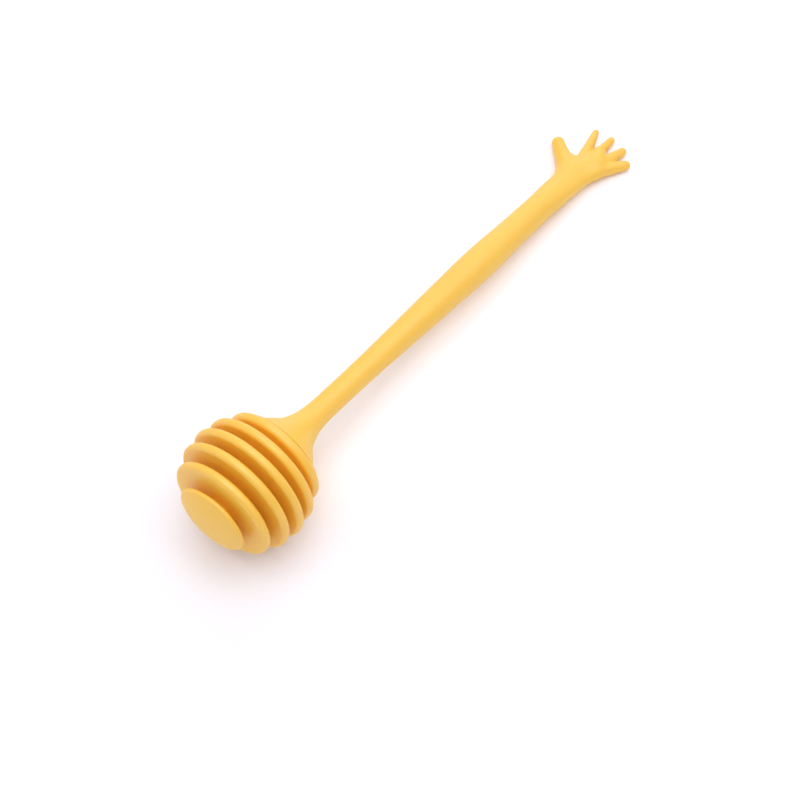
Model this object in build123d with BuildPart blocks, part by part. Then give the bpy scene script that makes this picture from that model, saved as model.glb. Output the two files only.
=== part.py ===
from build123d import *

import os
from math import cos, radians, sin, sqrt, tan

# Silicone honey dipper: a grooved ball head, an arm-shaped handle that ends in an
# open hand, and a stiff core rod inside both. Millimetres.
#
# It lies at rest on its side, as it is put down on a table: the widest disc of the
# head and the underside of the hand touch Z = 0. +X runs from the head to the hand,
# +Y is the thumb's side, +Z is up. The origin is on the table, under the middle of
# the whole object's box.

os.makedirs("parts", exist_ok=True)

# ------------------------------------------------------------------------ head
# The whole head is a ball 35 mm across, cut by five deep grooves into six discs.
disc_pitch = 4.69  # from one disc to the next, along the head's axis
first_disc = -13.89  # middle of the end disc, from the ball's centre (+ is towards the hand)
disc_count = 6
disc_radii = [10.00, 14.78, 16.90, 17.50, 16.73, 14.38]  # they lie on the ball, but for the end disc's soft edge
widest_disc = 3  # counted from 0: this one touches the table
disc_half = 1.21  # half the thickness of a disc at its rim
disc_half_root = 1.28  # and at the bottom of a groove
rim_round = 1.10  # rounding of each edge of a rim: almost a full round
floor_round = 0.95  # rounding at the bottom of a groove
hub_radii = [4.2, 7.2, 9.2, 9.7, 9.2]  # bottoms of the grooves: the core swells to the widest disc
end_crown = -16.00  # middle of the domed end face
end_edge = -13.70  # and its edge
end_round = 0.90  # rounding of the end disc's edge, in front
end_round_back = 0.42  # and behind

# ----------------------------------------- where the handle meets the head
joint_u = 11.00  # the handle butts against the back of the last disc
seam_width = 0.30  # a fine groove runs all round behind the last disc
seam_floor = 12.2  # radius at its bottom
spigot_radius = 6.5  # locating spigot of the handle, in the back of the head
spigot_length = 1.2

# ------------------------------------------------------- handle: lines it follows
descent = 5.74  # slope of the head's axis and of the arm, down to the hand
head_yaw = 2.46  # the head points this far to the side of the arm's line
bend_u = 23.3  # where the two lines cross, in the neck
bend_half = 5.0  # the bend is spread this far either side

# trumpet: distance from the ball's centre along the head's axis, radius
flare_profile = [
    (joint_u + seam_width, 13.50),
    (11.55, 12.75),
    (11.85, 11.95),
    (12.30, 11.15),
    (13.20, 10.22),
    (14.20, 9.40),
    (15.40, 8.40),
    (16.60, 7.34),
    (18.30, 5.92),
]
flare_round = 0.20  # rounding of the trumpet's rim
# neck, through the bend: share of the way round it, radius
bend_sections = [(0.0, 5.92), (0.25, 4.75), (0.5, 4.02), (0.75, 3.61), (1.0, 3.40)]
# turned part of the arm: distance along its line, radius
arm_start = bend_u * cos(radians(head_yaw)) + bend_half
arm_profile = [
    (arm_start, 3.40),
    (32.0, 3.34),
    (39.0, 3.35),
    (46.0, 3.42),
    (54.0, 3.62),
    (63.0, 3.88),
    (72.0, 4.20),
    (81.5, 4.44),
    (90.0, 4.68),
    (94.0, 4.73),
    (98.0, 4.67),
    (103.0, 4.50),
    (109.0, 4.29),
    (115.0, 4.17),
    (120.0, 4.08),
]
# wrist: distance along the line, half width, half height, sideways, height off it
wrist_sections = [
    (120.0, 4.08, 4.08, 0.0, 0.0),
    (125.0, 4.19, 3.84, 0.0, -0.02),
    (130.0, 4.33, 3.52, 0.0, -0.08),
    (134.5, 4.36, 3.16, -0.12, -0.15),
    (138.5, 4.38, 2.84, -0.42, -0.22),
    (142.5, 4.62, 2.56, -0.86, -0.28),
]
# palm, which narrows between the roots of the fingers
palm_sections = [
    wrist_sections[-1],
    (144.0, 4.76, 2.46, -1.16, -0.24),
    (145.5, 4.62, 2.36, -1.42, -0.20),
    (146.9, 4.16, 2.23, -1.30, -0.16),
    (148.2, 3.50, 2.10, -1.02, -0.13),
    (149.5, 2.82, 1.99, -0.74, -0.11),
    (150.6, 2.20, 1.88, -0.50, -0.10),
    (151.6, 1.78, 1.66, -0.34, -0.07),
    (152.4, 1.45, 1.40, -0.22, -0.05),
]
# fingers: root and tip, each as distance from the ball's centre along X, then
# sideways off the arm's line, height above the table, radius
arm_side = 1.0  # the arm's line runs this far to the thumb's side of the ball's centre
fingers = {
    "thumb": ((139.67, 2.30, 2.62, 2.25), (146.41, 11.46, 1.91, 1.91)),
    "index": ((145.33, 1.86, 2.33, 1.89), (157.32, 5.49, 1.15, 0.99)),
    "middle": ((145.63, -0.11, 2.42, 1.79), (157.81, 0.17, 1.26, 1.10)),
    "ring": ((144.79, -2.70, 2.66, 2.20), (156.38, -4.90, 1.38, 1.28)),
    "little": ((145.69, -4.13, 2.46, 2.20), (152.74, -8.63, 1.48, 1.48)),
}

# ------------------------------------------------------------------- core rod
core_radius = 1.8
core_start_u = 1.6  # end of the rod inside the head, just behind the widest disc
core_end_s = 132.0  # end of its round part inside the arm
barb_radius = 2.7
barb_us = (2.9,)  # middle of each barb
barb_length = 2.0
collar_side = 5.0  # square collar that stops the head turning on the rod
collar_u = (4.4, 6.0)  # inside the fifth disc
tang_start_s = 126.0
tang_end_s = 146.0  # flat tang that reaches into the palm
tang_width = 5.0
tang_thick = 1.6
tang_hole_s = 140.5
tang_hole_radius = 1.1

# ------------------------------------------------------------ the shared frame
slope = radians(descent)
yaw = radians(head_yaw)
disc_us = [first_disc + disc_pitch * k for k in range(disc_count)]

# height of the ball's centre: the rounded rim of the widest disc touches the table
rim_u = disc_us[widest_disc] + disc_half - rim_round
rim_r = disc_radii[widest_disc] - rim_round
ball_height = rim_r * cos(slope) + rim_u * sin(slope) + rim_round

# the end face is part of a sphere; at rest its axis is tilted, and this is how far it
# reaches along X
dome_rise = end_edge - end_crown
dome_radius = (disc_radii[0] ** 2 + dome_rise**2) / (2 * dome_rise)
head_reach = dome_radius - (end_crown + dome_radius) * cos(slope) * cos(yaw)

# the origin is midway between the end of the head and the tip of the middle finger
high_x = fingers["middle"][1][0] + fingers["middle"][1][3]
ball = Vector((head_reach - high_x) / 2, 0, ball_height)

arm_dir = Vector(cos(slope), 0, -sin(slope))
side_dir = Vector(0, 1, 0)
up_dir = Vector(sin(slope), 0, cos(slope))


def heading(angle):
    """Direction in the plane of both lines, turned by angle to the thumb's side."""
    return arm_dir * cos(angle) + side_dir * sin(angle)


head_dir = heading(yaw)
bend_point = ball + head_dir * bend_u
arm_zero = bend_point - arm_dir * (bend_u * cos(yaw))  # beside the ball's centre


def head_plane(u):
    """Square to the head's axis at u."""
    return Plane(origin=ball + head_dir * u, x_dir=heading(yaw + radians(90)), z_dir=head_dir)


def arm_plane(s, side=0.0, up=0.0):
    """Square to the arm's line at s, moved sideways and up."""
    return Plane(
        origin=arm_zero + arm_dir * s + side_dir * side + up_dir * up,
        x_dir=side_dir,
        z_dir=arm_dir,
    )


# The bend: both lines are tangent to one large arc.
bend_radius = bend_half / tan(yaw / 2)
bend_start = ball + head_dir * (bend_u - bend_half)
bend_centre = bend_start - heading(yaw + radians(90)) * bend_radius


def bend_plane(share):
    """Square to the arc, share of the way round it from the head to the arm."""
    angle = yaw * (1 - share)
    return Plane(
        origin=bend_centre + heading(angle + radians(90)) * bend_radius,
        x_dir=heading(angle + radians(90)),
        z_dir=heading(angle),
    )


# Half planes for turned shapes: local X runs along the axis, local Y is the radius.
head_half = Plane(origin=ball, x_dir=head_dir, z_dir=heading(yaw - radians(90)))
head_axis = Axis(origin=ball, direction=head_dir)
arm_half = Plane(origin=arm_zero, x_dir=arm_dir, z_dir=side_dir * -1)
arm_axis = Axis(origin=arm_zero, direction=arm_dir)
arm_flat = Plane(origin=arm_zero, x_dir=arm_dir, z_dir=up_dir)

# ------------------------------------------------------------------- core rod
with BuildPart() as core_rod:
    with BuildLine() as core_path:
        FilletPolyline(
            ball + head_dir * core_start_u,
            bend_point,
            arm_zero + arm_dir * core_end_s,
            radius=bend_radius,
        )
    with BuildSketch(head_plane(core_start_u)):
        Circle(core_radius)
    sweep(path=core_path.line)
    # barb: a cone that points to the end of the head, so that the rod pushes in and
    # stays in
    with BuildSketch(head_half):
        for barb_u in barb_us:
            with BuildLine():
                Polyline(
                    (barb_u - barb_length / 2, 0),
                    (barb_u - barb_length / 2, core_radius),
                    (barb_u + barb_length / 2 - 0.4, barb_radius),
                    (barb_u + barb_length / 2, barb_radius),
                    (barb_u + barb_length / 2, 0),
                    close=True,
                )
            make_face()
    revolve(axis=head_axis)
    # square collar
    with BuildSketch(head_plane(collar_u[0])):
        RectangleRounded(collar_side, collar_side, 0.5)
    extrude(amount=collar_u[1] - collar_u[0])
    # tang: a flat tongue with a hole that the silicone fills
    with BuildSketch(arm_flat):
        with Locations(((tang_start_s + tang_end_s) / 2, 0)):
            SlotOverall(tang_end_s - tang_start_s, tang_width)
        with Locations((tang_hole_s, 0)):
            Circle(tang_hole_radius, mode=Mode.SUBTRACT)
    extrude(amount=tang_thick / 2, both=True)
core_rod.part.label = "core_rod"

def dome_point(r):
    """The point of the domed end face at radius r."""
    return (end_crown + dome_radius - sqrt(dome_radius**2 - r * r), r)


def with_rounds(corners):
    """The run through the corners (x, y, radius), with each one rounded. A rounding is
    three short flats, which lie within 0.04 mm of the true round."""
    run = []
    for k, (x, y, size) in enumerate(corners):
        corner = Vector(x, y)
        if size == 0:
            run.append((x, y))
            continue
        back = (Vector(*corners[k - 1][:2]) - corner).normalized()
        ahead = (Vector(*corners[k + 1][:2]) - corner).normalized()
        half = radians(back.get_angle(ahead)) / 2
        centre = corner + (back + ahead).normalized() * (size / sin(half))
        start = corner + back * (size / tan(half)) - centre
        end = corner + ahead * (size / tan(half)) - centre
        sweep_angle = radians(180) - 2 * half
        for step in range(4):
            turn = sweep_angle * step / 3
            spoke = (start * sin(sweep_angle - turn) + end * sin(turn)) / sin(sweep_angle)
            run.append((centre.X + spoke.X, centre.Y + spoke.Y))
    return run


# ------------------------------------------------------------------------ head
with BuildPart() as dipper_head:
    with BuildSketch(head_half) as head_section:
        with BuildLine():
            # end face: a dome that meets the first rim
            dome_r = disc_radii[0] - end_round  # where the rounding of its edge begins
            corners = [(*dome_point(dome_r), 0), (end_edge, disc_radii[0], end_round)]
            for k in range(disc_count):
                u, r = disc_us[k], disc_radii[k]
                if k > 0:
                    corners += [
                        (u - disc_half_root, hub_radii[k - 1], floor_round),
                        (u - disc_half, r, rim_round),
                    ]
                if k < disc_count - 1:
                    corners += [
                        (u + disc_half, r, rim_round if k > 0 else end_round_back),
                        (u + disc_half_root, hub_radii[k], floor_round),
                    ]
                else:
                    corners += [(joint_u, r, rim_round)]
            corners += [(joint_u, 0, 0)]
            ThreePointArc((end_crown, 0), dome_point(dome_r / 2), dome_point(dome_r))
            Polyline(*with_rounds(corners), (end_crown, 0))
        make_face()
    revolve(axis=head_axis)
    # recess for the handle's spigot
    with BuildSketch(head_plane(joint_u)):
        Circle(spigot_radius)
    extrude(amount=-spigot_length, mode=Mode.SUBTRACT)
    # bore for the core rod, moulded to its barbs and collar
    add(core_rod.part, mode=Mode.SUBTRACT)
dipper_head.part.label = "dipper_head"

# ---------------------------------------------------------------------- handle
with BuildPart() as arm_handle:
    # trumpet
    with BuildSketch(head_half) as trumpet:
        with BuildLine():
            Spline(*flare_profile)
            Polyline(
                flare_profile[-1],
                (flare_profile[-1][0], 0),
                (joint_u, 0),
                (joint_u, seam_floor),
                (joint_u + seam_width, seam_floor),
                flare_profile[0],
            )
        make_face()
        fillet(trumpet.vertices().sort_by(Axis.Y)[-1], radius=flare_round)
    revolve(axis=head_axis)
    # neck, round the bend
    for share, r in bend_sections:
        with BuildSketch(bend_plane(share)):
            Circle(r)
    loft()
    # forearm
    with BuildSketch(arm_half):
        with BuildLine():
            Spline(*arm_profile)
            Polyline(
                arm_profile[-1], (arm_profile[-1][0], 0), (arm_profile[0][0], 0), arm_profile[0]
            )
        make_face()
    revolve(axis=arm_axis)
    # wrist, in one smooth skin, and palm, in short straight steps
    for sections, stepped in ((wrist_sections, False), (palm_sections, True)):
        for s, half_width, half_height, side, up in sections:
            with BuildSketch(arm_plane(s, side, up)):
                if half_width == half_height:
                    Circle(half_width)
                else:
                    Ellipse(half_width, half_height)
        loft(ruled=stepped)
    # fingers: each is a tapered finger with round ends
    for root, tip in fingers.values():
        start = Vector(ball.X + root[0], arm_side + root[1], root[2])
        end = Vector(ball.X + tip[0], arm_side + tip[1], tip[2])
        length = (end - start).length
        lean = (root[3] - tip[3]) / length
        flat = sqrt(1 - lean * lean)
        finger_dir = (end - start).normalized()
        with BuildSketch(
            Plane(origin=start, x_dir=finger_dir, z_dir=finger_dir.cross(Vector(0, 0, 1)))
        ):
            with BuildLine():
                ThreePointArc(
                    (-root[3], 0),
                    (-root[3] * sqrt(0.5), root[3] * sqrt(0.5)),
                    (root[3] * lean, root[3] * flat),
                )
                Line(
                    (root[3] * lean, root[3] * flat),
                    (length + tip[3] * lean, tip[3] * flat),
                )
                ThreePointArc(
                    (length + tip[3] * lean, tip[3] * flat),
                    (length + tip[3] * sqrt(0.5), tip[3] * sqrt(0.5)),
                    (length + tip[3], 0),
                )
                Line((length + tip[3], 0), (-root[3], 0))
            make_face()
        revolve(axis=Axis(origin=start, direction=finger_dir))
    # spigot that centres the handle in the back of the head
    with BuildSketch(head_plane(joint_u)):
        Circle(spigot_radius)
    extrude(amount=-spigot_length)
    # bore for the core rod and its tang
    add(core_rod.part, mode=Mode.SUBTRACT)
arm_handle.part.label = "arm_handle"

for piece in (dipper_head, arm_handle, core_rod):
    export_step(piece.part, f"parts/{piece.part.label}.step")

whole = Compound(children=[dipper_head.part, arm_handle.part, core_rod.part])
box = whole.bounding_box()
print("whole box", box.min, box.max, box.size)
print("ball centre", ball)
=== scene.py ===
import math

import bpy
import numpy as np
from mathutils import Matrix, Vector

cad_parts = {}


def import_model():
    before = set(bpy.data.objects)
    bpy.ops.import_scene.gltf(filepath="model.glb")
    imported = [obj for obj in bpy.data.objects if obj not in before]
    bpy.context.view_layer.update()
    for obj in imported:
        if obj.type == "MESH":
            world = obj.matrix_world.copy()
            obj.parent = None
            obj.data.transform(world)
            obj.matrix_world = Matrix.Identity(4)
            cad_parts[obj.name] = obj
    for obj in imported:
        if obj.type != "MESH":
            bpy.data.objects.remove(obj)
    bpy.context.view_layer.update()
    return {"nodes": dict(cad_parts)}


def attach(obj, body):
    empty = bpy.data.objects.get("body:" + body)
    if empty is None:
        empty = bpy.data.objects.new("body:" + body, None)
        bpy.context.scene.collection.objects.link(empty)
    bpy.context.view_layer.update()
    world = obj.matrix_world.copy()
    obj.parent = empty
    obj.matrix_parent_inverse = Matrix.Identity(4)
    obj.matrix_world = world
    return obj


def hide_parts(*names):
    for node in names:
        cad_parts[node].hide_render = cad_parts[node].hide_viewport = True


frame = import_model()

MM = 0.001

# ------------------------------------------------------------------ the frame
# Millimetres, in the part's own frame: it lies on the table (Z = 0), +X runs from
# the grooved head to the hand, +Y is the thumb's side.
BALL = np.array([-71.4345, 0.0, 17.4468])  # centre of the ball head
SLOPE = math.radians(5.74)  # the tool slopes down to the hand
YAW = math.radians(2.46)  # the head points this far to the thumb's side of the arm
BEND_U = 23.3  # where the head's axis and the arm's line cross
BEND_HALF = 5.0  # the bend is spread this far either side

ARM = np.array([math.cos(SLOPE), 0.0, -math.sin(SLOPE)])
SIDE = np.array([0.0, 1.0, 0.0])
UP = np.array([math.sin(SLOPE), 0.0, math.cos(SLOPE)])


def heading(angle):
    return ARM * math.cos(angle) + SIDE * math.sin(angle)


HEAD = heading(YAW)
BEND_POINT = BALL + HEAD * BEND_U
ARM_ZERO = BEND_POINT - ARM * (BEND_U * math.cos(YAW))
BEND_RADIUS = BEND_HALF / math.tan(YAW / 2)
BEND_START = BALL + HEAD * (BEND_U - BEND_HALF)
BEND_CENTRE = BEND_START - heading(YAW + math.pi / 2) * BEND_RADIUS
ARM_START = BEND_U * math.cos(YAW) + BEND_HALF  # along the arm's line


def station(t):
    """Centre, direction and sideways direction of the handle's line at t, which is
    the distance from the ball's centre, round the bend, on to the arm."""
    if t <= BEND_U - BEND_HALF:
        return BALL + HEAD * t, HEAD, heading(YAW + math.pi / 2)
    arc = BEND_RADIUS * YAW
    if t <= BEND_U - BEND_HALF + arc:
        a = YAW * (1 - (t - (BEND_U - BEND_HALF)) / arc)
        side = heading(a + math.pi / 2)
        return BEND_CENTRE + side * BEND_RADIUS, heading(a), side
    s = ARM_START + (t - (BEND_U - BEND_HALF) - arc)
    return ARM_ZERO + ARM * s, ARM, SIDE


T_OF_S = BEND_U - BEND_HALF + BEND_RADIUS * YAW - ARM_START  # t = s + T_OF_S


# --------------------------------------------------------------- mesh helpers
def smooth_curve(knots):
    """A smooth function through knots (x, y) that doesn't overshoot them."""
    x = np.array([k[0] for k in knots], float)
    y = np.array([k[1] for k in knots], float)
    h = np.diff(x)
    d = np.diff(y) / h
    m = np.zeros_like(x)
    for i in range(1, len(x) - 1):
        if d[i - 1] * d[i] > 0:
            w1, w2 = 2 * h[i] + h[i - 1], h[i] + 2 * h[i - 1]
            m[i] = (w1 + w2) / (w1 / d[i - 1] + w2 / d[i])
    m[0], m[-1] = d[0], d[-1]

    def f(q):
        q = np.clip(np.asarray(q, float), x[0], x[-1])
        i = np.clip(np.searchsorted(x, q, side="right") - 1, 0, len(x) - 2)
        s = (q - x[i]) / h[i]
        return (
            (1 + 2 * s) * (1 - s) ** 2 * y[i]
            + s * (1 - s) ** 2 * h[i] * m[i]
            + s * s * (3 - 2 * s) * y[i + 1]
            + s * s * (s - 1) * h[i] * m[i + 1]
        )

    return f


def rounded(points, radii, step=math.radians(8)):
    """A run of (u, r) points with its corners rounded to the radii given."""
    out = [np.array(points[0], float)]
    for i in range(1, len(points) - 1):
        p, a, b = (np.array(points[j], float) for j in (i, i - 1, i + 1))
        u, v = a - p, b - p
        lu, lv = np.linalg.norm(u), np.linalg.norm(v)
        u, v = u / lu, v / lv
        angle = math.acos(max(-1.0, min(1.0, float(u @ v))))
        if radii[i] <= 0 or abs(angle - math.pi) < 1e-3:
            out.append(p)
            continue
        t = min(radii[i] / math.tan(angle / 2), lu * 0.499, lv * 0.499)
        r = t * math.tan(angle / 2)
        mid = (u + v) / np.linalg.norm(u + v)
        c = p + mid * (r / math.sin(angle / 2))
        s, e = p + u * t, p + v * t
        a0 = math.atan2(s[1] - c[1], s[0] - c[0])
        a1 = math.atan2(e[1] - c[1], e[0] - c[0])
        d = (a1 - a0 + math.pi) % (2 * math.pi) - math.pi
        n = max(3, int(abs(d) / step))
        for k in range(n + 1):
            q = a0 + d * k / n
            out.append(c + r * np.array([math.cos(q), math.sin(q)]))
    out.append(np.array(points[-1], float))
    return np.array(out)


def subdivided(profile, longest):
    """The same run with no step longer than longest."""
    out = [profile[0]]
    for a, b in zip(profile[:-1], profile[1:]):
        n = max(1, int(math.ceil(np.linalg.norm(b - a) / longest)))
        for k in range(1, n + 1):
            out.append(a + (b - a) * k / n)
    return np.array(out)


def mesh_object(name, verts, faces, material):
    mesh = bpy.data.meshes.new(name)
    mesh.from_pydata([tuple(v) for v in np.asarray(verts) * MM], [], faces)
    mesh.update()
    mesh.validate()
    mesh.polygons.foreach_set("use_smooth", [True] * len(mesh.polygons))
    mesh.materials.append(material)
    obj = bpy.data.objects.new(name, mesh)
    bpy.context.scene.collection.objects.link(obj)
    return obj


def ring_faces(first, second, n):
    return [
        (first + j, first + (j + 1) % n, second + (j + 1) % n, second + j) for j in range(n)
    ]


# ------------------------------------------------------------------ materials
def nodes_of(material):
    material.use_nodes = True
    tree = material.node_tree
    tree.nodes.clear()
    out = tree.nodes.new("ShaderNodeOutputMaterial")
    shader = tree.nodes.new("ShaderNodeBsdfPrincipled")
    tree.links.new(shader.outputs["BSDF"], out.inputs["Surface"])
    return tree, shader


def noise(tree, scale, detail=3.0, roughness=0.55, distortion=0.0):
    coord = tree.nodes.new("ShaderNodeTexCoord")
    node = tree.nodes.new("ShaderNodeTexNoise")
    node.inputs["Scale"].default_value = scale
    node.inputs["Detail"].default_value = detail
    node.inputs["Roughness"].default_value = roughness
    node.inputs["Distortion"].default_value = distortion
    tree.links.new(coord.outputs["Object"], node.inputs["Vector"])
    return node


def remap(tree, source, low, high, from_low=0.3, from_high=0.7):
    node = tree.nodes.new("ShaderNodeMapRange")
    node.inputs["From Min"].default_value = from_low
    node.inputs["From Max"].default_value = from_high
    node.inputs["To Min"].default_value = low
    node.inputs["To Max"].default_value = high
    tree.links.new(source, node.inputs["Value"])
    return node


def silicone():
    material = bpy.data.materials.new("honey_silicone")
    tree, shader = nodes_of(material)
    # pigment: faint clouds of a deeper and a paler honey yellow
    clouds = noise(tree, 55.0, 4.0, 0.6, 0.4)
    fine = noise(tree, 900.0, 2.0, 0.5)
    amount = remap(tree, clouds.outputs["Fac"], 0.0, 1.0)
    mix = tree.nodes.new("ShaderNodeMix")
    mix.data_type = "RGBA"
    mix.inputs["A"].default_value = (0.975, 0.558, 0.031, 1)
    mix.inputs["B"].default_value = (0.990, 0.582, 0.0385, 1)
    tree.links.new(amount.outputs["Result"], mix.inputs["Factor"])
    tree.links.new(mix.outputs["Result"], shader.inputs["Base Color"])
    # satin skin, a little duller in patches
    rough = remap(tree, fine.outputs["Fac"], 0.44, 0.56)
    tree.links.new(rough.outputs["Result"], shader.inputs["Roughness"])
    # the skin of a sand-blasted mould: fine grain, and broad shallow ripples
    grain = noise(tree, 3800.0, 3.0, 0.6)
    ripple = noise(tree, 160.0, 2.0, 0.5)
    bump_fine = tree.nodes.new("ShaderNodeBump")
    bump_fine.inputs["Strength"].default_value = 0.10
    bump_fine.inputs["Distance"].default_value = 0.00005
    tree.links.new(grain.outputs["Fac"], bump_fine.inputs["Height"])
    bump_broad = tree.nodes.new("ShaderNodeBump")
    bump_broad.inputs["Strength"].default_value = 0.12
    bump_broad.inputs["Distance"].default_value = 0.0003
    tree.links.new(ripple.outputs["Fac"], bump_broad.inputs["Height"])
    tree.links.new(bump_fine.outputs["Normal"], bump_broad.inputs["Normal"])
    tree.links.new(bump_broad.outputs["Normal"], shader.inputs["Normal"])
    shader.inputs["Subsurface Weight"].default_value = 0.2
    shader.inputs["Subsurface Radius"].default_value = (1.0, 0.45, 0.12)
    shader.inputs["Subsurface Scale"].default_value = 0.0012
    shader.inputs["Specular IOR Level"].default_value = 0.95
    shader.inputs["IOR"].default_value = 1.60
    return material


def core_nylon():
    material = bpy.data.materials.new("core_nylon")
    tree, shader = nodes_of(material)
    fibres = noise(tree, 1400.0, 5.0, 0.7, 1.5)
    amount = remap(tree, fibres.outputs["Fac"], 0.0, 1.0)
    mix = tree.nodes.new("ShaderNodeMix")
    mix.data_type = "RGBA"
    mix.inputs["A"].default_value = (0.56, 0.52, 0.43, 1)
    mix.inputs["B"].default_value = (0.66, 0.63, 0.55, 1)
    tree.links.new(amount.outputs["Result"], mix.inputs["Factor"])
    tree.links.new(mix.outputs["Result"], shader.inputs["Base Color"])
    rough = remap(tree, fibres.outputs["Fac"], 0.42, 0.62)
    tree.links.new(rough.outputs["Result"], shader.inputs["Roughness"])
    bump = tree.nodes.new("ShaderNodeBump")
    bump.inputs["Strength"].default_value = 0.3
    bump.inputs["Distance"].default_value = 0.00005
    tree.links.new(fibres.outputs["Fac"], bump.inputs["Height"])
    tree.links.new(bump.outputs["Normal"], shader.inputs["Normal"])
    return material


SILICONE = silicone()
NYLON = core_nylon()

# ----------------------------------------------------------------------- head
DISC_U = [-13.89 + 4.69 * k for k in range(6)]
DISC_R = [10.00, 14.78, 16.90, 17.50, 16.73, 14.38]
DISC_HALF, ROOT_HALF = 1.21, 1.28
RIM_ROUND, FLOOR_ROUND = 1.10, 0.95
HUB = [4.2, 7.2, 9.2, 9.7, 9.2]  # bottoms of the grooves
CROWN, CROWN_EDGE = -16.00, -13.70
END_ROUND, END_ROUND_BACK = 0.90, 0.42
JOINT_U = 11.00
SPIGOT_R, SPIGOT_LENGTH = 6.5, 1.2
CORE_R, CORE_START = 1.8, 1.6


def head_profile():
    points, radii = [], []
    # the end: a dome that turns over into the first rim
    rise = CROWN_EDGE - CROWN
    dome = (DISC_R[0] ** 2 + rise**2) / (2 * rise)
    for k in range(17):
        r = DISC_R[0] * k / 18
        points.append((CROWN + dome - math.sqrt(dome**2 - r * r), r))
        radii.append(0)
    points.append((CROWN_EDGE, DISC_R[0]))
    radii.append(END_ROUND)
    for k in range(6):
        u, r = DISC_U[k], DISC_R[k]
        if k > 0:
            points += [(u - ROOT_HALF, HUB[k - 1]), (u - DISC_HALF, r)]
            radii += [FLOOR_ROUND, RIM_ROUND]
        if k < 5:
            points += [(u + DISC_HALF, r), (u + ROOT_HALF, HUB[k])]
            radii += [RIM_ROUND if k else END_ROUND_BACK, FLOOR_ROUND]
        else:
            points.append((JOINT_U, r))
            radii.append(RIM_ROUND)
    # the back, the recess for the spigot, and the bore for the core
    points += [(JOINT_U, SPIGOT_R), (JOINT_U - SPIGOT_LENGTH, SPIGOT_R)]
    points += [(JOINT_U - SPIGOT_LENGTH, CORE_R), (CORE_START, CORE_R), (CORE_START, 0)]
    radii += [0.1, 0.1, 0.1, 0, 0]
    return rounded(points, radii)


def make_head(segments=240):
    profile = subdivided(head_profile(), 0.9)
    side = heading(YAW + math.pi / 2)
    angles = np.linspace(0, 2 * math.pi, segments, endpoint=False)
    spokes = np.cos(angles)[:, None] * side + np.sin(angles)[:, None] * UP
    verts = [BALL + HEAD * profile[0][0]]
    faces, previous = [], None
    for u, r in profile[1:-1]:
        first = len(verts)
        verts.extend(BALL + HEAD * u + spokes * r)
        if previous is None:
            faces += [(0, first + (j + 1) % segments, first + j) for j in range(segments)]
        else:
            faces += ring_faces(previous, first, segments)
        previous = first
    verts.append(BALL + HEAD * profile[-1][0])
    end = len(verts) - 1
    faces += [(previous + j, previous + (j + 1) % segments, end) for j in range(segments)]
    return mesh_object("dipper_head_skin", np.array(verts), faces, SILICONE)


# --------------------------------------------------------------------- handle
# Radius along the handle's line, from the joint to the wrist.
HANDLE_R = smooth_curve(
    [
        (11.30, 13.50),
        (11.55, 12.75),
        (11.85, 11.95),
        (12.30, 11.15),
        (13.20, 10.22),
        (14.20, 9.40),
        (15.40, 8.40),
        (16.60, 7.34),
        (18.30, 5.92),
        (20.80, 4.66),
        (23.30, 3.95),
        (25.80, 3.57),
        (28.30, 3.40),
        (32.0, 3.34),
        (38.0, 3.35),
        (46.0, 3.42),
        (54.0, 3.62),
        (63.0, 3.88),
        (72.0, 4.20),
        (81.5, 4.44),
        (90.0, 4.68),
        (94.0, 4.72),
        (98.0, 4.67),
        (103.0, 4.50),
        (109.0, 4.29),
        (115.0, 4.17),
        (121.0, 4.06),
        (126.0, 4.02),
        (146.0, 4.02),
    ]
)
SEAM, SEAM_FLOOR = 0.30, 12.2  # the fine groove all round behind the last disc
CUT_S = 119.0  # the turned part ends here, and the modelled wrist and hand begin

# The hand: each form is a tapered limb from root to tip, given as distance from the
# ball's centre along X, sideways off the arm's line, height over the table, half
# width, and thickness as a share of width.
ARM_Y = 1.0
WRIST_HALF_WIDTH = smooth_curve(
    [(119.0, 4.10), (123.0, 4.10), (128.0, 4.316), (134.0, 4.355), (139.0, 4.277), (142.5, 4.342)]
)
WRIST_HALF_HEIGHT = smooth_curve(
    [(119.0, 4.10), (123.0, 3.97), (128.0, 3.64), (134.0, 3.20), (139.0, 2.80), (142.5, 2.60)]
)
WRIST_DROP = smooth_curve([(119.0, 0.0), (125.0, -0.02), (134.0, -0.14), (142.5, -0.28)])
WRIST_END, WRIST_CAP, WRIST_TURN = 142.5, 8.52, -0.892
PALM = ((145.52, -2.73, 2.68, 3.53, 0.66), (151.28, -0.24, 2.20, 1.85, 1.00))
THUMB = ((139.67, 2.87, 2.40, 2.85, 0.72), (146.41, 11.46, 1.93, 1.91, 1.00))
INDEX = ((145.33, 1.86, 2.33, 1.89, 1.05), (157.32, 5.49, 1.15, 0.98, 1.02))
MIDDLE = ((145.63, -0.11, 2.38, 1.79, 1.05), (157.81, 0.17, 1.25, 1.10, 1.00))
RING = ((144.79, -2.70, 2.70, 2.42, 0.95), (156.38, -4.90, 1.38, 1.28, 1.00))
LITTLE = ((145.69, -4.13, 2.46, 2.35, 0.92), (152.74, -8.63, 1.50, 1.48, 1.00))
THUMB_WEB, PALM_WEB, FINGER_WEB = 4.84, 2.56, 0.54


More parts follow.
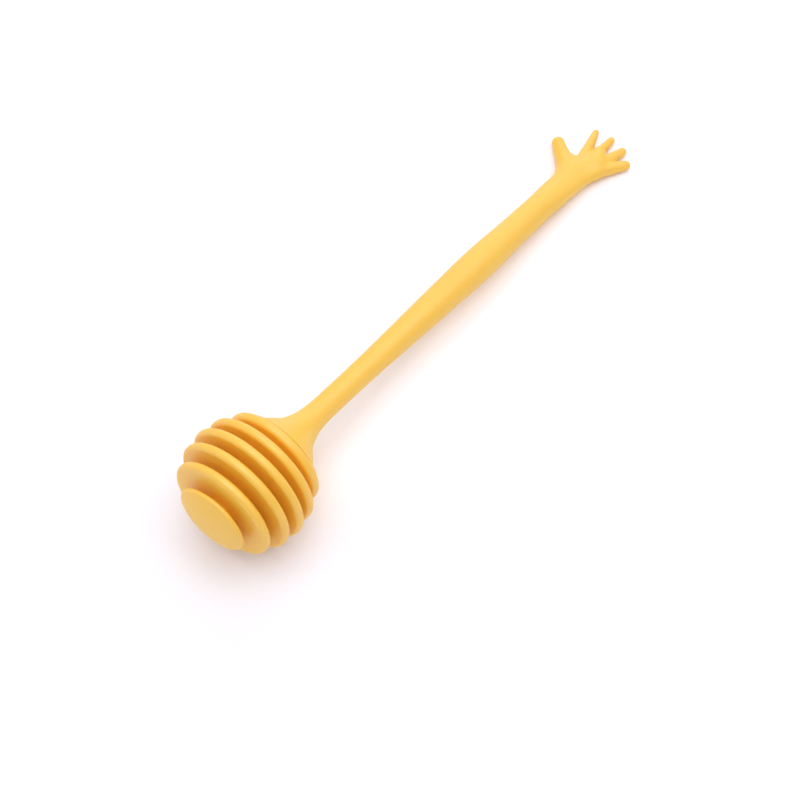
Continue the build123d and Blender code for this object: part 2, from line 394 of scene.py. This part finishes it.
def limb(p, form):
    """Signed distance, about, from points p to a tapered limb."""
    (x0, y0, z0, r0, k0), (x1, y1, z1, r1, k1) = form
    if z0 is None:
        z0 = BALL[2] - x0 * math.tan(SLOPE)
    a = np.array([BALL[0] + x0, ARM_Y + y0])
    b = np.array([BALL[0] + x1, ARM_Y + y1])
    d = b - a
    t = np.clip(((p[:, :2] - a) @ d) / (d @ d), 0, 1)
    flat = p[:, :2] - a - t[:, None] * d
    across = np.hypot(flat[:, 0], flat[:, 1])
    k = k0 + (k1 - k0) * t
    high = (p[:, 2] - (z0 + (z1 - z0) * t)) / k
    r = r0 + (r1 - r0) * t
    q = np.sqrt(across**2 + high**2)
    # a flattened limb is thinner than it is wide, so its distance is scaled
    slope = np.sqrt(across**2 + (high / k) ** 2) / np.maximum(q, 1e-6)
    return (q - r) / np.maximum(slope, 0.3)


def merged(a, b, k):
    """Union of two distances, with a fillet of about k."""
    h = np.clip(0.5 + 0.5 * (b - a) / k, 0, 1)
    return b * (1 - h) + a * h - k * h * (1 - h)


def hand_distance(p):
    d = p - ARM_ZERO
    s = d @ ARM
    across = d @ SIDE
    high = d @ UP
    # wrist and heel of the hand: an oval tube that flattens, with a round end
    t = np.clip(s, CUT_S, WRIST_END)
    a, b = WRIST_HALF_WIDTH(t), WRIST_HALF_HEIGHT(t)
    across_w = across - WRIST_TURN * np.clip((s - 130.0) / 12.5, 0, 1) ** 2
    high_w = high - WRIST_DROP(t)
    past = np.maximum(s - WRIST_END, 0)
    q = np.sqrt((across_w / a) ** 2 + (high_w / b) ** 2 + (past / WRIST_CAP) ** 2)
    slope = np.sqrt(
        (across_w / a**2) ** 2 + (high_w / b**2) ** 2 + (past / WRIST_CAP**2) ** 2
    )
    hand = (q - 1) * q / np.maximum(slope, 1e-3)
    hand = merged(hand, limb(p, PALM), PALM_WEB)
    hand = merged(hand, limb(p, THUMB), THUMB_WEB)
    for form in (INDEX, MIDDLE, RING, LITTLE):
        hand = merged(hand, limb(p, form), FINGER_WEB)
    # it lies on the table, and its underside is a little flat there
    hand = -merged(-hand, p[:, 2] - 0.03, 0.5)
    # the turned arm holds at the cut, so that the two meshes meet
    w = np.clip((s - CUT_S - 0.5) / 6.0, 0, 1)
    w = w * w * (3 - 2 * w)
    turned = np.hypot(across, high) - HANDLE_R(s + T_OF_S)
    return turned * (1 - w) + hand * w


def gradient(f, p, h=0.02):
    g = np.empty_like(p)
    for i in range(3):
        e = np.zeros(3)
        e[i] = h
        g[:, i] = (f(p + e) - f(p - e)) / (2 * h)
    return g


def hand_net(step=0.24):
    """Quads over the hand's surface, open at the cut. Vertices in the row frame."""
    s_axis = np.arange(CUT_S, 162.0, step)
    l_axis = np.arange(-12.0, 15.6, step)
    h_axis = np.arange(-6.2, 6.2, step)
    grid = np.stack(np.meshgrid(s_axis, l_axis, h_axis, indexing="ij"), -1)
    shape = grid.shape[:3]

    def world(q):
        return ARM_ZERO + q[:, :1] * ARM + q[:, 1:2] * SIDE + q[:, 2:3] * UP

    value = hand_distance(world(grid.reshape(-1, 3))).reshape(shape)
    inside = value < 0
    total = np.zeros(tuple(n - 1 for n in shape), int)
    for i in (0, 1):
        for j in (0, 1):
            for k in (0, 1):
                total += inside[
                    i : shape[0] - 1 + i, j : shape[1] - 1 + j, k : shape[2] - 1 + k
                ]
    mixed = (total > 0) & (total < 8)
    index = -np.ones(mixed.shape, int)
    index[mixed] = np.arange(mixed.sum())
    cells = np.argwhere(mixed)
    # each vertex starts at the mean of its cell's crossings
    sums = np.zeros((len(cells), 3))
    count = np.zeros(len(cells))
    corners = [(i, j, k) for i in (0, 1) for j in (0, 1) for k in (0, 1)]
    for a in corners:
        for axis in range(3):
            if a[axis] == 0:
                b = tuple(a[m] + (m == axis) for m in range(3))
                ia = tuple((cells + a).T)
                ib = tuple((cells + b).T)
                va, vb = value[ia], value[ib]
                cross = (va < 0) != (vb < 0)
                t = np.where(cross, va / np.where(cross, va - vb, 1), 0)
                pa, pb = grid[ia], grid[ib]
                sums += np.where(cross[:, None], pa + (pb - pa) * t[:, None], 0)
                count += cross
    verts = world(sums / count[:, None])
    faces = []
    for axis in range(3):
        others = [m for m in range(3) if m != axis]
        lo = [slice(None)] * 3
        hi = [slice(None)] * 3
        lo[axis], hi[axis] = slice(0, -1), slice(1, None)
        a, b = inside[tuple(lo)], inside[tuple(hi)]
        edges = np.argwhere(a != b)
        starts = a[tuple(edges.T)]
        keep = np.ones(len(edges), bool)
        for m in others:
            keep &= (edges[:, m] > 0) & (edges[:, m] < mixed.shape[m])
        edges, starts = edges[keep], starts[keep]
        quad = []
        for dm, dn in ((0, 0), (1, 0), (1, 1), (0, 1)):
            cell = edges.copy()
            cell[:, others[0]] -= 1 - dm
            cell[:, others[1]] -= 1 - dn
            quad.append(index[tuple(cell.T)])
        quad = np.stack(quad, 1)
        flip = starts if axis != 1 else ~starts
        quad[~flip] = quad[~flip][:, ::-1]
        faces.append(quad)
    faces = np.concatenate(faces)
    # even the quads out, and put every vertex exactly on the surface
    edges = np.concatenate([faces[:, [i, (i + 1) % 4]] for i in range(4)])
    edges = np.unique(np.sort(edges, 1), axis=0)
    uses = np.bincount(edges.ravel(), minlength=len(verts))
    for _ in range(6):
        near = np.zeros_like(verts)
        np.add.at(near, edges[:, 0], verts[edges[:, 1]])
        np.add.at(near, edges[:, 1], verts[edges[:, 0]])
        near /= uses[:, None]
        s = (verts - ARM_ZERO) @ ARM
        free = s > CUT_S + 1.2 * step
        verts[free] += 0.5 * (near - verts)[free]
        g = gradient(hand_distance, verts)
        f = hand_distance(verts)
        verts -= g * (f / np.maximum((g * g).sum(1), 0.05))[:, None] * 0.95
    return verts, faces


def make_handle(segments=128):
    # the turned part, ring by ring, from the spigot to the wrist
    start = [
        (JOINT_U - SPIGOT_LENGTH + 0.02, 0.0),
        (JOINT_U - SPIGOT_LENGTH + 0.02, SPIGOT_R - 0.02),
        (JOINT_U + 0.02, SPIGOT_R - 0.02),
        (JOINT_U + 0.02, SEAM_FLOOR),
        (JOINT_U + SEAM, SEAM_FLOOR),
        (JOINT_U + SEAM, 13.50),
    ]
    flare = [(t, float(HANDLE_R(t))) for t in np.arange(11.60, 13.9, 0.15)]
    run = rounded(start + flare, [0, 0.1, 0.1, 0.05, 0.05, 0.2] + [0] * len(flare), math.radians(12))
    run = subdivided(run, 1.2)
    t_cut = CUT_S + T_OF_S - 0.15
    more = np.linspace(14.0, t_cut, 260)
    stations = [(u, r) for u, r in run[1:]] + [(t, float(HANDLE_R(t))) for t in more]
    angles = np.linspace(0, 2 * math.pi, segments, endpoint=False)
    c0 = station(run[0][0])[0]
    verts = [c0]
    faces, previous = [], None
    for t, r in stations:
        centre, _, side = station(t)
        ring = centre + r * (np.cos(angles)[:, None] * side + np.sin(angles)[:, None] * UP)
        first = len(verts)
        verts.extend(ring)
        if previous is None:
            faces += [(0, first + (j + 1) % segments, first + j) for j in range(segments)]
        else:
            faces += ring_faces(previous, first, segments)
        previous = first
    last_ring = [previous + j for j in range(segments)]

    # the wrist and hand
    hand_verts, hand_faces = hand_net()
    offset = len(verts)
    verts = np.concatenate([np.array(verts), hand_verts])
    faces += [tuple(int(i) + offset for i in f) for f in hand_faces]

    # zip the two rims together
    half = {}
    for f in hand_faces:
        for i in range(4):
            a, b = int(f[i]), int(f[(i + 1) % 4])
            half[(a, b)] = True
    follow = {b: a for (a, b) in half if (b, a) not in half}
    loop = [next(iter(follow))]
    while follow[loop[-1]] != loop[0]:
        loop.append(follow[loop[-1]])
    if len(loop) != len(follow):
        raise RuntimeError("the hand's open rim isn't one loop: %d of %d" % (len(loop), len(follow)))
    loop = [i + offset for i in loop]

    def turn(i):
        d = verts[i] - ARM_ZERO
        return math.atan2(d @ UP, d @ SIDE) % (2 * math.pi)

    def forward(ring):
        steps = [((turn(ring[(i + 1) % len(ring)]) - turn(ring[i]) + math.pi) % (2 * math.pi)) - math.pi for i in range(len(ring))]
        return sum(steps) > 0

    if not forward(loop):
        loop.reverse()
    k = min(range(len(loop)), key=lambda i: abs((turn(loop[i]) + math.pi) % (2 * math.pi) - math.pi))
    loop = loop[k:] + loop[:k]
    i = j = 0
    n, m = len(last_ring), len(loop)

    def angle_at(ring, q):
        base = turn(ring[q % len(ring)])
        if q >= len(ring):
            base += 2 * math.pi
        elif q == 0 and base > math.pi:
            base -= 2 * math.pi
        return base

    while i < n or j < m:
        a, b = last_ring[i % n], loop[j % m]
        if j >= m or (i < n and angle_at(last_ring, i + 1) < angle_at(loop, j + 1)):
            faces.append((a, last_ring[(i + 1) % n], b))
            i += 1
        else:
            faces.append((a, loop[(j + 1) % m], b))
            j += 1
    return mesh_object("arm_handle_skin", verts, faces, SILICONE)


head = make_head()
handle = make_handle()

for piece, node in ((head, "dipper_head"), (handle, "arm_handle")):
    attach(piece, "root")
    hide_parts(node)

core = frame["nodes"]["core_rod"]
if not core.material_slots:
    core.data.materials.append(NYLON)
for place in core.material_slots:
    place.material = NYLON

# ---------------------------------------------------------------------- stage
table = bpy.data.materials.new("table_white")
tree, shader = nodes_of(table)
paper = noise(tree, 12.0, 2.0)
tone = remap(tree, paper.outputs["Fac"], 0.0, 1.0)
mix = tree.nodes.new("ShaderNodeMix")
mix.data_type = "RGBA"
mix.inputs["A"].default_value = (0.93, 0.92, 0.915, 1)
mix.inputs["B"].default_value = (0.94, 0.93, 0.925, 1)
tree.links.new(tone.outputs["Result"], mix.inputs["Factor"])
tree.links.new(mix.outputs["Result"], shader.inputs["Base Color"])
shader.inputs["Roughness"].default_value = 0.95
shader.inputs["Emission Color"].default_value = (0.94, 0.953, 1.0, 1)
shader.inputs["Emission Strength"].default_value = 0.056
shader.inputs["Specular IOR Level"].default_value = 0.1
size = 2.5
mesh = bpy.data.meshes.new("table")
mesh.from_pydata(
    [(-size, -size, 0), (size, -size, 0), (size, size, 0), (-size, size, 0)],
    [],
    [(0, 1, 2, 3)],
)
mesh.materials.append(table)
floor = bpy.data.objects.new("table", mesh)
bpy.context.scene.collection.objects.link(floor)

world = bpy.data.worlds.new("studio")
bpy.context.scene.world = world
world.use_nodes = True
world.node_tree.nodes["Background"].inputs["Color"].default_value = (0.911, 0.904, 1.0, 1)
world.node_tree.nodes["Background"].inputs["Strength"].default_value = 0.333


def softbox(name, place, aim, size, power, colour=(1, 1, 1)):
    light = bpy.data.lights.new(name, "AREA")
    light.shape = "SQUARE"
    light.size = size
    light.energy = power
    light.color = colour
    obj = bpy.data.objects.new(name, light)
    bpy.context.scene.collection.objects.link(obj)
    obj.location = place
    obj.rotation_euler = (Vector(aim) - Vector(place)).to_track_quat("-Z", "Y").to_euler()
    return obj


# a large overhead box, lower ones all round, and the white walls of the room
COOL, WARM = (0.903, 0.902, 1.0), (0.960, 0.860, 0.830)
for name, place, power, colour in (
    ("over", (0.0, 0.0, 0.90), 5.26, COOL),
    ("far_low", (0.649, 0.549, 0.30), 2.361, COOL),
    ("left_low", (-0.549, 0.649, 0.30), 1.65, COOL),
    ("near", (-0.473, -0.400, 0.65), 1.15, WARM),
    ("far_right", (0.620, -0.051, 0.65), 1.043, COOL),
    ("right", (0.400, -0.473, 0.65), 1.022, COOL),
):
    softbox(name, place, (0.0, 0.0, 0.01), 0.8, power, colour)

# --------------------------------------------------------------------- camera
# Fitted to the rims and the outline of the head: 64.6 mm on a 36 mm frame, 360 mm
# from the ball's centre, 61.2 degrees above the table, no roll.
EYE = np.array([-164.652, -128.582, 340.8065])
ELEVATION = math.radians(61.179)
AZIMUTH = math.radians(40.257)
ahead = np.array([math.cos(AZIMUTH), math.sin(AZIMUTH), 0.0])
look = math.cos(ELEVATION) * ahead + np.array([0, 0, -math.sin(ELEVATION)])
right = np.array([math.sin(AZIMUTH), -math.cos(AZIMUTH), 0.0])
down = np.cross(look, right)
camera = bpy.data.cameras.new("camera")
camera.sensor_width = 36.0
camera.lens = 1436.76 / 800 * 36.0
camera.clip_start = 0.01
camera.clip_end = 20.0
camera_object = bpy.data.objects.new("camera", camera)
bpy.context.scene.collection.objects.link(camera_object)
camera_object.matrix_world = Matrix.Translation(Vector(EYE * MM)) @ Matrix(
    (right, -down, -look)
).transposed().to_4x4()
bpy.context.scene.camera = camera_object
bpy.context.scene.view_settings.view_transform = "Standard"
